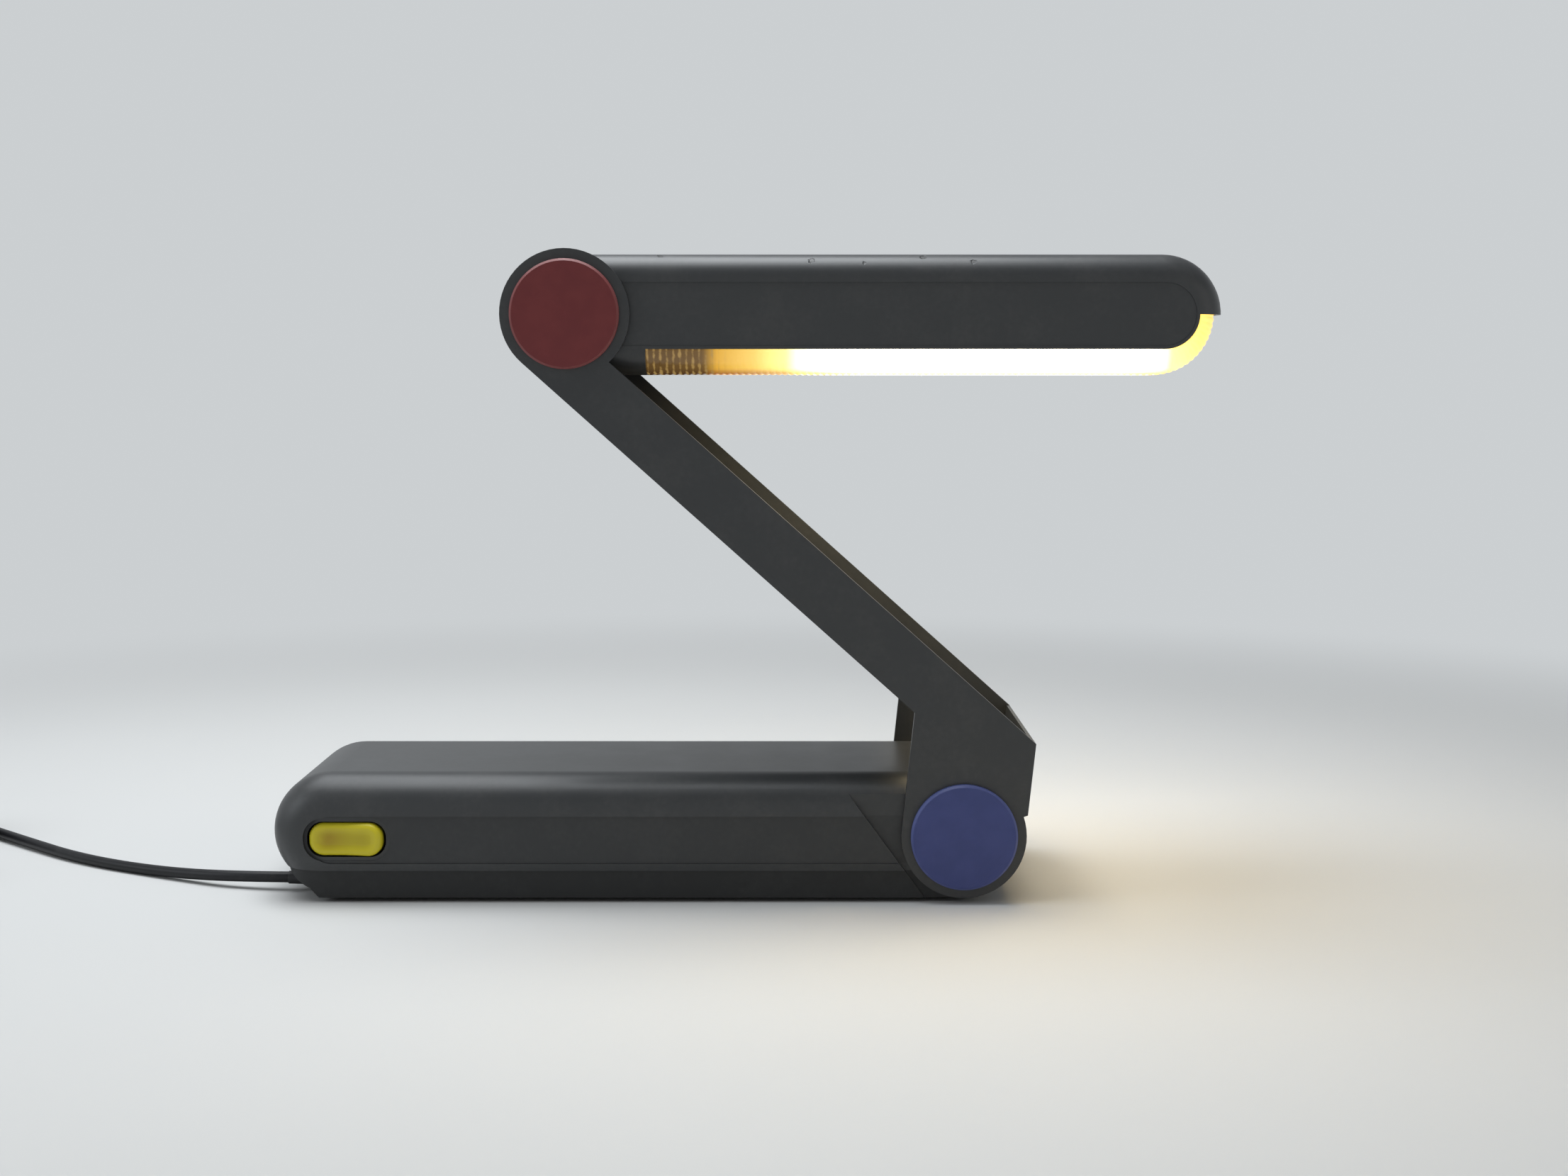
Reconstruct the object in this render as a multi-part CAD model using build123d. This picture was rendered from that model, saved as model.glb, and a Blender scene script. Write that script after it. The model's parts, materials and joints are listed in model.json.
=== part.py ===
from build123d import *
from math import sin, cos, tan, pi, radians, degrees, sqrt
import os

# A folding desk lamp in the shape of a Z. A flat base bar lies on the table, a
# channel-shaped arm stands on a hinge at the base's right end, and a head bar with a
# twin-tube lamp hangs on a hinge at the arm's upper end. Folded, the head lies in the
# arm, its tip on the heel, and the arm lies on the base. Both hinges turn about Y. X runs along the
# base, Z is up and the table is at Z 0.

# bars
bar_r = 26.0            # half height of the base bar and of the head bar
edge_r = 12.0           # rounding of the head's long edges
base_edge_r = 17.0      # and of the base's
wall = 2.2              # moulded wall
head_w = 100.0          # width of the head, and of the base between the fork's cheeks
base_len = 281.3        # lower hinge axis to the centre of the base's round left end
head_len = 258.0        # upper hinge axis to the centre of the head's round right end
foot_h = 2.0
foot_r = 8.0
keel_h = 2.0            # how far the tray's flat bottom stands below the bar's round
keel_run = 4.0
part_drop = 15.7        # base parting line below the lower hinge axis
tray_in = 0.8           # the tray's walls inside the shell's
panel_d = 0.9           # shallow panels in the bars' sides
head_panel_d = 0.4
panel_up = 8.9          # base panel's edges above and below the lower hinge axis
panel_low = 12.3
panel_x = 2.6
head_panel_r = 13.6
head_panel_x = 26.5
notch_d = 3.5           # how much deeper the pocket is beside the fork

# arm
cheek_t = 2.5
side_gap = 0.5          # cheek to bar, filled by the friction washer at each hinge
fold_gap = 0.4          # between the bars and the arm's web when folded
web_t = 1.5
arm_len = 281.3         # hinge to hinge along the arm
arm_h = 25.2            # depth of the channel
arm_tilt = 41.84        # the arm's angle over the folded position
fork_lean = 36.0        # the fork's edges, off the arm's square
eye_r = 27.6            # round end of the fork at the lower hinge
pocket_gap = 2.6        # fork edge to the pocket's edge when folded
heel_x = -4.3           # heel corner along the arm, from the lower hinge
heel_edge = 32.0
heel_t = 1.6

# hinges
bolt_r = 4.0
bolt_l = 17.0
bolt_head_r = 8.0
bolt_head_h = 1.8
run_fit = 0.05
still_fit = 0.02
boss_r = 11.0
boss_t = 8.0
washer_r = 12.0
nut_af = 13.0
nut_t = 6.0
cap_r = 23.5
cap_t = 3.0
cap_skin = 1.0
cap_chamfer = 1.0
cap_lug_r = 11.0

# head
diff_x = 34.3           # where the diffuser starts, from the upper hinge axis
diff_drop = 14.9        # lower edge of the head's side walls below the axis
diff_t = 1.8
diff_inset = 3.0        # the diffuser's round end behind the shell's
diff_gap = 0.15
lip_t = 1.5
lip_h = 10.0
lip_start = 6.0
lip_stop = 15.0
lamp_drop = 4.0
holder_l = 14.0
holder_w = 40.0
holder_h = 22.0
lamp_base_l = 22.0
lamp_base_w = 34.0
lamp_base_h = 18.0
lamp_pin_r = 1.2
lamp_pin_l = 6.0
lamp_pin_y = 11.5
tube_r = 6.0
tube_y = 8.0
tube_l = 186.0
bridge_back = 12.0
bridge_r = 4.0
refl_t = 0.8
refl_top = 10.0
refl_half = 30.0
refl_low = 8.5
clip_back = 26.0
clip_t = 4.0
clip_w = 36.0

# base fittings
foot_y = 30.0
foot_left = 8.0
foot_right = 4.0
screw_r = 1.6
screw_l = 12.0
screw_head_r = 3.4
screw_head_h = 1.4
screw_boss_r = 4.5
screw_y = 30.0
screw_left = 26.0
screw_right = 24.0
weight_x = 34.0
weight_l = 84.0
weight_w = 72.0
weight_t = 9.0
term_x = 130.0
term_l = 30.0
term_w = 18.0
term_h = 14.0
choke_x = 212.0
core_l = 62.0
core_w = 30.0
core_h = 36.0
leg_w = 16.0
yoke_h = 8.0
window_w = 14.0
coil_over = 8.0
coil_gap = 0.25

# switch in the front side wall
switch_x = 9.2          # right of the centre of the base's round left end
switch_drop = 1.4
rocker_l = 33.4
rocker_w = 15.2
rocker_corner = 6.8
rocker_gap = 0.35
rocker_end_gap = 0.7
rocker_tilt = 5.0
rocker_pivot = 5.4      # pivot behind the outer face
rocker_lift = 6.4
rocker_dip = 5.0
rocker_back = 2.5
well_t = 1.6
well_deep = 13.0
pivot_r = 1.2

# mains cord
cord_d = 5.0
gland_y = -30.0
gland_drop = 24.0       # below the lower hinge axis
gland_r = 3.2
gland_tip_r = 2.9
gland_out = 22.0        # tip and inner end, left of the round end's centre
gland_in = 0.5
gland_seat = 10.5       # where the taper starts
coil_r = 35.0           # where the cord enters its coil
coil_step = 6.6         # turn to turn
coil_layer = 5.6        # layer to layer
coil_layers = 4
coil_halves = 3         # half turns in a layer
coil_last = 3           # half turns in the top layer
coil_lift = 0.7
tie_t = 0.6
tie_w = 6.0
tie_gap = 0.3
tail_flat = 10.0
tail_slope = 34.0
plug_l = 38.0
plug_w = 35.0
plug_h = 16.0
plug_neck = 12.0
plug_pin_r = 2.0
plug_pin_l = 19.0
plug_pin_y = 9.3

# places that follow from the sizes
cheek_in = head_w / 2 + side_gap
cheek_out = cheek_in + cheek_t
base_w = 2 * cheek_out
half = head_w / 2
arm_low = bar_r + fold_gap
arm_top = arm_low + arm_h
arm_red = arm_low + web_t + fold_gap + bar_r
red_eye_r = arm_red - arm_low
tilt = radians(arm_tilt)
lean = radians(fork_lean)
red_dx = -arm_len * cos(tilt) + arm_red * sin(tilt)
red_dz = arm_len * sin(tilt) + arm_red * cos(tilt)
lo_x = (base_len - red_dx - head_len) / 2     # the whole lamp is centred on X 0
lo_z = foot_h + keel_h + bar_r
up_x = lo_x + red_dx
up_z = lo_z + red_dz
left = lo_x - base_len
floor_z = foot_h + keel_h + wall
part_z = lo_z - part_drop
big = 2 * (base_len + head_len)


def box(x0, x1, y0, y1, z0, z1):
    return Pos((x0 + x1) / 2, (y0 + y1) / 2, (z0 + z1) / 2) * Box(x1 - x0, y1 - y0, z1 - z0)


def cyl_x(y, z, r, x0, x1):
    return Pos((x0 + x1) / 2, y, z) * Rot(0, 90, 0) * Cylinder(r, x1 - x0)


def cyl_y(x, z, r, ya, yb):
    return Pos(x, (ya + yb) / 2, z) * Rot(90, 0, 0) * Cylinder(r, abs(yb - ya))


def cyl_z(x, y, r, z0, z1):
    return Pos(x, y, (z0 + z1) / 2) * Cylinder(r, z1 - z0)


def prism(sketch, ya, yb):
    # a side-view sketch (X, Z) extruded between two Y planes
    y1 = max(ya, yb)
    side = Plane(origin=(0, y1, 0), x_dir=(1, 0, 0), z_dir=(0, -1, 0))
    return extrude(side * sketch, abs(yb - ya))


def poly(points):
    return make_face(Polyline(*points, close=True))


def bar(xa, xb, z, r, w, edge):
    # a flat bar with round ends and rounded long edges
    body = prism(Pos((xa + xb) / 2, z) * SlotCenterToCenter(xb - xa, 2 * r), -w / 2, w / 2)
    sides = body.faces().sort_by(Axis.Y)
    return fillet(sides[0].edges() + sides[-1].edges(), edge)


parts = {}

# base bar, with a pocket in each side for the fork's cheeks
pocket_d = eye_r + pocket_gap


def pocket(d, y_in):
    up = Vector(-sin(lean), cos(lean))
    foot = Vector(lo_x, lo_z) - Vector(cos(lean), sin(lean)) * d
    reach = 3 * bar_r
    a, b = foot + up * reach, foot - up * reach
    far = lo_x + 4 * bar_r
    face = poly([(a.X, a.Y), (b.X, b.Y), (far, b.Y), (far, a.Y)])
    return prism(face, y_in, base_w) + prism(face, -base_w, -y_in)


def notch(d, r, y_in):
    # the open part of the pocket, between its edge and the round end of the fork
    up = Vector(-sin(lean), cos(lean))
    foot = Vector(lo_x, lo_z) - Vector(cos(lean), sin(lean)) * d
    a, b = foot + up * 3 * bar_r, foot - up * 3 * bar_r
    face = poly([(a.X, a.Y), (b.X, b.Y), (lo_x, b.Y), (lo_x, a.Y)]) - Pos(lo_x, lo_z) * Circle(r)
    return prism(face, y_in, base_w) + prism(face, -base_w, -y_in)


outer = bar(left, lo_x, lo_z, bar_r, base_w, base_edge_r)
inner = bar(left, lo_x, lo_z, bar_r - wall, base_w - 2 * wall, base_edge_r - wall)
slim = bar(left, lo_x, lo_z, bar_r - tray_in, base_w - 2 * tray_in, base_edge_r - tray_in)
cut = pocket(pocket_d, half) + notch(pocket_d, eye_r + 1, half - notch_d)
hollow = inner - pocket(pocket_d + wall, half - wall) - notch(pocket_d + wall, eye_r + 1 - wall, half - notch_d - wall)
base_up = (outer & box(-big, big, -big, big, part_z, big)) - cut - hollow

# tray: upright walls under the shell's edge, round in side view, on a flat bottom
skirt = extrude(section(slim, section_by=Plane.XY.offset(part_z)), part_z - foot_h, dir=(0, 0, -1))
side_view = Pos((left + lo_x) / 2, lo_z) * SlotCenterToCenter(base_len, 2 * (bar_r - tray_in))
keel_z = lo_z - sqrt((bar_r - tray_in) ** 2 - (2 * keel_run) ** 2)
side_view += poly([(left - 2 * keel_run, keel_z), (left - keel_run, foot_h), (lo_x + keel_run, foot_h), (lo_x + 2 * keel_run, keel_z)])
base_low = (skirt & prism(side_view, -base_w, base_w)) - cut - hollow

panel = Pos((left + panel_x + lo_x) / 2, lo_z + (panel_up - panel_low) / 2) * SlotCenterToCenter(
    lo_x - left - panel_x, panel_up + panel_low)
for s in (-1, 1):
    base_up -= prism(panel, s * (base_w / 2 - panel_d), s * base_w)

for s in (-1, 1):
    base_up += cyl_y(lo_x, lo_z, boss_r, s * (half - boss_t), s * (half - wall / 2))
for s in (-1, 1):
    base_up -= cyl_y(lo_x, lo_z, bolt_r + still_fit, s * (half - 2 * boss_t), s * (half + 1))

screw_spots = {"left_front": (left + screw_left, -screw_y), "left_rear": (left + screw_left, screw_y),
               "right_front": (lo_x - screw_right, -screw_y), "right_rear": (lo_x - screw_right, screw_y)}
for name, (x, y) in screw_spots.items():
    base_up += cyl_z(x, y, screw_boss_r, floor_z, lo_z + bar_r - wall / 2)
    base_up -= cyl_z(x, y, screw_r + still_fit, floor_z - 1, foot_h + screw_l + 1)
    base_low -= cyl_z(x, y, screw_r + run_fit, 0, floor_z + 1)
    parts["tray_screw_" + name] = (cyl_z(x, y, screw_r, foot_h - screw_head_h / 2, foot_h + screw_l)
                                   + cyl_z(x, y, screw_head_r, foot_h - screw_head_h, foot_h))

foot_spots = {"left_front": (left + foot_left, -foot_y), "left_rear": (left + foot_left, foot_y),
              "right_front": (lo_x - foot_right, -foot_y), "right_rear": (lo_x - foot_right, foot_y)}
for name, (x, y) in foot_spots.items():
    pad = cyl_z(x, y, foot_r, 0, foot_h)
    parts["foot_" + name] = chamfer(pad.edges().sort_by(Axis.Z)[0], foot_h / 5)

# ballast, choke and terminals on the tray's floor
parts["ballast_plate"] = box(left + weight_x, left + weight_x + weight_l, -weight_w / 2, weight_w / 2,
                             floor_z, floor_z + weight_t)
term = box(left + term_x, left + term_x + term_l, -term_w / 2, term_w / 2, floor_z, floor_z + term_h)
for i in (-1, 0, 1):
    term -= cyl_z(left + term_x + term_l / 2 + i * term_l / 3.5, 0, term_l / 12, floor_z + term_h / 2, floor_z + term_h + 1)
parts["terminal_block"] = term
cx = left + choke_x
core = box(cx - core_l / 2, cx + core_l / 2, -core_w / 2, core_w / 2, floor_z, floor_z + core_h)
win_z0, win_z1 = floor_z + yoke_h, floor_z + core_h - yoke_h
for s in (-1, 1):
    xa, xb = sorted((cx + s * leg_w / 2, cx + s * (leg_w / 2 + window_w)))
    core -= box(xa, xb, -core_w, core_w, win_z0, win_z1)
parts["choke_core"] = core
coil_half = leg_w / 2 + window_w - coil_gap
parts["choke_coil"] = (
    box(cx - coil_half, cx + coil_half, -core_w / 2 - coil_over, core_w / 2 + coil_over, win_z0 + coil_gap, win_z1 - coil_gap)
    - box(cx - leg_w / 2 - coil_gap, cx + leg_w / 2 + coil_gap, -core_w / 2 - coil_gap, core_w / 2 + coil_gap, 0, big))

# rocker switch: a dark well behind the front wall, and the rocker on a pin
sw_x, sw_z = left + switch_x, lo_z - switch_drop
face_y = -base_w / 2
well_l = rocker_l + 2 * rocker_end_gap
well_w = rocker_w + 2 * rocker_gap
well_corner = rocker_corner + rocker_gap


def pad_block(l, w, corner, ya, yb):
    return prism(Pos(sw_x, sw_z) * RectangleRounded(l, w, corner), ya, yb)


collar_l, collar_w = well_l + 2 * well_t, well_w + 2 * well_t
base_up -= pad_block(collar_l + 2 * still_fit, collar_w + 2 * still_fit, well_corner + well_t + still_fit, face_y - 1, face_y + 2 * wall)
well = pad_block(collar_l, collar_w, well_corner + well_t, face_y + 1.25 * panel_d, face_y + well_deep)
well += pad_block(collar_l + 2 * well_t, collar_w + 2 * well_t, well_corner + 2 * well_t, face_y + wall, face_y + 2 * wall)
well -= pad_block(well_l, well_w, well_corner, face_y - 1, face_y + well_deep - well_t)
pin_y = face_y + rocker_pivot
pin_half = collar_w / 2
well -= cyl_z(sw_x, pin_y, pivot_r + still_fit, sw_z - pin_half - 1, sw_z + pin_half + 1)
well -= base_up             # the flange follows the rounding of the shell's inside
parts["switch_well"] = well
parts["rocker_pin"] = cyl_z(sw_x, pin_y, pivot_r, sw_z - pin_half, sw_z + pin_half)
plan = poly([(-rocker_l / 2, -rocker_lift), (0, -rocker_dip), (rocker_l / 2, -rocker_lift),
             (rocker_l / 2 - rocker_back, rocker_back), (-rocker_l / 2 + rocker_back, rocker_back)])
rocker = extrude(plan, rocker_w / 2, both=True)
side = Plane(origin=(0, 2 * rocker_back, 0), x_dir=(1, 0, 0), z_dir=(0, -1, 0))
rocker &= extrude(side * RectangleRounded(rocker_l, rocker_w, rocker_corner), 2 * rocker_back + 2 * rocker_lift)
rocker -= Cylinder(pivot_r + run_fit, 2 * rocker_w)
parts["switch_rocker"] = Pos(sw_x, pin_y, sw_z) * Rot(0, 0, -rocker_tilt) * rocker

# tapered cord gland through the round left end
gz = lo_z - gland_drop
cord_r = cord_d / 2
gland_x0, gland_x1, gland_xs = left - gland_out, left - gland_in, left - gland_seat
hole = cyl_x(gland_y, gz, gland_r + still_fit, gland_x0, gland_x1 + 1)
base_up -= hole
base_low -= hole
taper = Pos((gland_x0 + gland_xs) / 2, gland_y, gz) * Rot(0, 90, 0) * Cone(gland_tip_r, gland_r, gland_xs - gland_x0)
gland = cyl_x(gland_y, gz, gland_r, gland_xs, gland_x1) + taper
parts["cord_gland"] = gland - cyl_x(gland_y, gz, cord_r + still_fit, gland_x0 - 1, gland_x1 + 1)

parts["base_shell"] = base_up
parts["base_tray"] = base_low

# arm, drawn folded about the lower hinge and then raised
arm_loc = Pos(lo_x, 0, lo_z) * Rot(0, arm_tilt, 0)
crook_x = (-eye_r - sin(lean) * arm_low) / cos(lean)
tang = (-eye_r * cos(lean), -eye_r * sin(lean))
heel = Vector(heel_x, arm_top)
toe = heel + Vector(sin(lean), -cos(lean)) * heel_edge
out = Vector(cos(lean), sin(lean)) * heel_t
profile = poly([(-arm_len, arm_low), (crook_x, arm_low), tang, (0, 0), (toe.X, toe.Y), (heel.X, heel.Y), (-arm_len, arm_top)])
profile = profile + Circle(eye_r) + Pos(-arm_len, arm_red) * Circle(red_eye_r)
heel_face = poly([(heel.X, heel.Y), (toe.X, toe.Y), (toe.X - out.X, toe.Y - out.Y), (heel.X - out.X, heel.Y - out.Y)])
arm = prism(profile, cheek_in, cheek_out) + prism(profile, -cheek_out, -cheek_in)
arm += box(-arm_len, crook_x, -cheek_in - cheek_t / 2, cheek_in + cheek_t / 2, arm_low, arm_low + web_t)
arm += prism(heel_face, -cheek_in - cheek_t / 2, cheek_in + cheek_t / 2)
arm -= cyl_y(0, 0, bolt_r + run_fit, -big, big)
arm -= cyl_y(-arm_len, arm_red, bolt_r + run_fit, -big, big)
parts["arm_channel"] = arm_loc * arm

# hinge fittings at both axes, the same on each side
for hinge, x, z, colour in (("lower", lo_x, lo_z, "blue"), ("upper", up_x, up_z, "red")):
    for name, s in (("front", -1), ("rear", 1)):
        tag = hinge + "_" + name
        parts["bolt_" + tag] = (cyl_y(x, z, bolt_r, s * (cheek_out + bolt_head_h / 2), s * (cheek_out - bolt_l))
                                + cyl_y(x, z, bolt_head_r, s * cheek_out, s * (cheek_out + bolt_head_h)))
        parts["washer_" + tag] = (cyl_y(x, z, washer_r, s * half, s * cheek_in)
                                  - cyl_y(x, z, bolt_r + run_fit, s * (half - 1), s * (cheek_in + 1)))
        hexagon = Pos(x, z) * RegularPolygon(nut_af / 2, 6, major_radius=False)
        parts["nut_" + tag] = (prism(hexagon, s * (half - boss_t), s * (half - boss_t - nut_t))
                               - cyl_y(x, z, bolt_r + still_fit, s * half, s * (half - boss_t - nut_t - 1)))
        cap = cyl_y(x, z, cap_r, s * cheek_out, s * (cheek_out + cap_t))
        rims = cap.edges().filter_by(GeomType.CIRCLE).sort_by(Axis.Y)
        cap = chamfer(rims[-1] if s > 0 else rims[0], cap_chamfer)
        cap -= cyl_y(x, z, cap_lug_r, s * (cheek_out - 1), s * (cheek_out + cap_t - cap_skin))
        parts["cap_" + colour + "_" + name] = cap

# head: shell, then the glowing lower part
head_out = bar(up_x, up_x + head_len, up_z, bar_r, head_w, edge_r)
head_in = bar(up_x, up_x + head_len, up_z, bar_r - wall, head_w - 2 * wall, edge_r - wall)


def low_zone(gap):
    # the side-view region below the shell's edge, which the diffuser fills
    xa, xb, drop = diff_x + gap, head_len, diff_drop + gap
    deep = 2 * bar_r
    side_run = poly([(xa, -drop), (xb, -drop), (xb, -deep), (xa, -deep)])
    end_run = poly([(xb, -gap), (xb + deep, -gap), (xb + deep, -deep), (xb, -deep)]) - Pos(xb, 0) * Circle(drop)
    return Pos(up_x, up_z) * (side_run + end_run)


head = head_out - head_in
head += head_in & box(up_x + diff_x - wall, up_x + diff_x, -big, big, -big, big)
head -= prism(low_zone(0), -big, big)
head_panel = Pos(up_x + (head_panel_x + head_len) / 2, up_z) * SlotCenterToCenter(head_len - head_panel_x, 2 * head_panel_r)
for s in (-1, 1):
    head -= prism(head_panel, s * (half - head_panel_d), s * head_w)
for s in (-1, 1):
    head += cyl_y(up_x, up_z, boss_r, s * (half - boss_t), s * (half - wall / 2))
for s in (-1, 1):
    head -= cyl_y(up_x, up_z, bolt_r + still_fit, s * (half - 2 * boss_t), s * (half + 1))

end_x = head_len - diff_inset
glow = bar(up_x, up_x + end_x, up_z, bar_r, head_w, edge_r) - bar(
    up_x, up_x + end_x, up_z, bar_r - diff_t, head_w - 2 * diff_t, edge_r - diff_t)
glow &= prism(low_zone(diff_gap), -big, big)
lip_out = half - wall - diff_gap
for s in (-1, 1):
    ya, yb = sorted((s * lip_out, s * (lip_out - lip_t)))
    z1 = up_z - diff_drop + 0.6 * lip_h
    glow += box(up_x + diff_x + lip_start, up_x + head_len - lip_stop, ya, yb, z1 - lip_h, z1)
parts["diffuser"] = glow

# lamp: holder, plug-in base, twin tube, reflector and clip
lz = up_z - lamp_drop
hx = up_x + diff_x
holder = box(hx, hx + holder_l, -holder_w / 2, holder_w / 2, lz - holder_h / 2, lz + holder_h / 2)
bx0 = hx + holder_l
lamp_base = box(bx0, bx0 + lamp_base_l, -lamp_base_w / 2, lamp_base_w / 2, lz - lamp_base_h / 2, lz + lamp_base_h / 2)
for s in (-1, 1):
    holder -= cyl_x(s * lamp_pin_y, lz, lamp_pin_r + run_fit, bx0 - lamp_pin_l - 1, bx0 + 1)
    lamp_base += cyl_x(s * lamp_pin_y, lz, lamp_pin_r, bx0 - lamp_pin_l, bx0 + 1)
parts["lamp_holder"] = holder
parts["lamp_base"] = lamp_base
tx0 = bx0 + lamp_base_l
tx1 = tx0 + tube_l
tube = cyl_y(tx1 - bridge_back, lz, bridge_r, -tube_y, tube_y)
for s in (-1, 1):
    tube += cyl_x(s * tube_y, lz, tube_r, tx0, tx1 - tube_r) + Pos(tx1 - tube_r, s * tube_y, lz) * Sphere(tube_r)
parts["lamp_tube"] = tube
refl_edge = half - wall - diff_gap
z_low, z_top = up_z - refl_low, up_z + refl_top
trough = poly([(-refl_edge, z_low), (-refl_half, z_top + refl_t), (refl_half, z_top + refl_t), (refl_edge, z_low),
               (refl_edge - 1.5 * refl_t, z_low), (refl_half - refl_t / 2, z_top), (-refl_half + refl_t / 2, z_top),
               (-refl_edge + 1.5 * refl_t, z_low)])
parts["reflector"] = extrude(Plane(origin=(hx + diff_gap, 0, 0), x_dir=(0, 1, 0), z_dir=(1, 0, 0)) * trough, head_len - diff_x)
clip_x = tx1 - clip_back
clip = box(clip_x - clip_t / 2, clip_x + clip_t / 2, -clip_w / 2, clip_w / 2, lz, z_top)
for s in (-1, 1):
    clip -= cyl_x(s * tube_y, lz, tube_r + run_fit, clip_x - clip_t, clip_x + clip_t)
parts["tube_clip"] = clip
parts["head_shell"] = head

# mains cord: a stretch on the table, a tied coil and the plug
lie = cord_r + 0.1
coil_z = cord_r + coil_lift
route = [(left - gland_in, gland_y, gz), (left - 40, gland_y, gz), (left - 86, -8.0, lie), (left - 132, 17.0, lie),
         (left - 174, 53.0, coil_z), (left - 212, 88.0, coil_z)]
runs = [Vector(*b) - Vector(*a) for a, b in zip(route, route[1:])]
radii = []
for a, b in zip(runs, runs[1:]):
    turn = radians(a.get_angle(b))
    radii.append(0.45 * min(a.length, b.length) / tan(turn / 2))
print("cord radii", [round(r, 1) for r in radii])
path = FilletPolyline(*route, radius=radii)
start = Plane(origin=path @ 0, z_dir=path % 0)
cord = sweep(start * Circle(cord_r), path=path)
print("cord length", round(path.length, 1), "volume ratio", round(cord.volume / (pi * cord_r ** 2 * path.length), 4))
parts["mains_cord"] = cord

# coil: half turns, each a pair of tangent arcs, inwards and outwards by layers
go = (path % 1).normalized()
level = Vector(go.X, go.Y, 0).normalized()
across = Vector(-level.Y, level.X, 0)
entry = path @ 1 + level * cord_d
hub = entry + across * coil_r
steps = [(coil_r, 0.0)]
for layer in range(coil_layers):
    for k in range(coil_last if layer == coil_layers - 1 else coil_halves):
        steps.append((steps[-1][0] + (coil_step / 2 if layer % 2 else -coil_step / 2), layer * coil_layer))
    if layer < coil_layers - 1:
        steps.append((steps[-1][0], (layer + 1) * coil_layer))


def spot(k):
    r, rise = steps[k]
    sign = -1 if k % 2 == 0 else 1
    return hub + across * (sign * r) + Vector(0, 0, rise)


def heading(k):
    return level * (1 if k % 2 == 0 else -1)


edges = [Line(path @ 1, entry)]
for k in range(len(steps) - 1):
    p, q, tp, tq = spot(k), spot(k + 1), heading(k), heading(k + 1)
    d = (q - p).length / 2
    a, b = p + tp * d, q - tq * d
    mid = (a + b) * 0.5
    edges.append(TangentArc(p, mid, tangent=tp))
    edges.append(TangentArc(mid, q, tangent=(b - a).normalized()))
last, last_go = spot(len(steps) - 1), heading(len(steps) - 1)
coil_end = last + last_go * cord_d
edges.append(Line(last, coil_end))
coil_path = Wire(edges)
coil_start = Plane(origin=path @ 1, z_dir=level)
coil = sweep(coil_start * Circle(cord_r), path=coil_path)
print("coil length", round(coil_path.length, 1), "volume ratio", round(coil.volume / (pi * cord_r ** 2 * coil_path.length), 4))
dots = [coil_path @ (i / 900) for i in range(901)]
apart = 4 * cord_d / (coil_path.length / 900)
least = min((dots[i] - dots[j]).length for i in range(901) for j in range(i + int(apart), 901))
print("coil least gap to itself", round(least - cord_d, 2))
parts["cord_coil"] = coil

# tie round the bundle, square to the turns
turn_in = min(r for r, rise in steps) - cord_r - tie_gap
turn_out = max(r for r, rise in steps) + cord_r + tie_gap
tie_top = coil_lift + cord_d + (coil_layers - 1) * coil_layer + tie_gap
frame = Plane(origin=(hub.X, hub.Y, 0), x_dir=level, z_dir=(0, 0, 1))
tie = box(turn_in - tie_t, turn_out + tie_t, -tie_w / 2, tie_w / 2, 0, tie_top + tie_t)
tie -= box(turn_in, turn_out, -tie_w, tie_w, tie_t, tie_top)
parts["coil_tie"] = frame * tie

# the tail comes down from the top turn to the plug
down = Vector(0, 0, plug_h / 2 - coil_end.Z)
knee = coil_end + last_go * tail_flat
ankle = knee + last_go * tail_slope + down
tail_end = ankle + last_go * tail_flat
tail_turn = (ankle - knee).get_angle(last_go)
tail_path = FilletPolyline(coil_end, knee, ankle, tail_end, radius=0.45 * tail_flat / tan(radians(tail_turn / 2)))
print("tail radius", round(0.45 * tail_flat / tan(radians(tail_turn / 2)), 1), "length", round(tail_path.length, 1))
parts["cord_tail"] = sweep(Plane(origin=coil_end, z_dir=last_go) * Circle(cord_r), path=tail_path)

# two-pin plug lying at the end of the tail
plug_frame = Plane(origin=(tail_end.X, tail_end.Y, 0), x_dir=last_go, z_dir=(0, 0, 1))
shape = poly([(0, -plug_neck / 2), (plug_l * 0.4, -plug_w / 2), (plug_l, -plug_w / 2), (plug_l, plug_w / 2),
              (plug_l * 0.4, plug_w / 2), (0, plug_neck / 2)])
plug = extrude(shape, plug_h)
parts["plug_body"] = plug_frame * plug
for name, s in (("a", -1), ("b", 1)):
    parts["plug_pin_" + name] = plug_frame * cyl_x(s * plug_pin_y, plug_h / 2, plug_pin_r, plug_l, plug_l + plug_pin_l)

os.makedirs("parts", exist_ok=True)
for name, solid in parts.items():
    export_step(solid, "parts/" + name + ".step")
print(len(parts), "nodes; lower axis", round(lo_x, 2), round(lo_z, 2), "upper axis", round(up_x, 2), round(up_z, 2),
      "left", round(left, 2), "cord end", tuple(round(v, 1) for v in path @ 1), "hub", tuple(round(v, 1) for v in hub))
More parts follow.
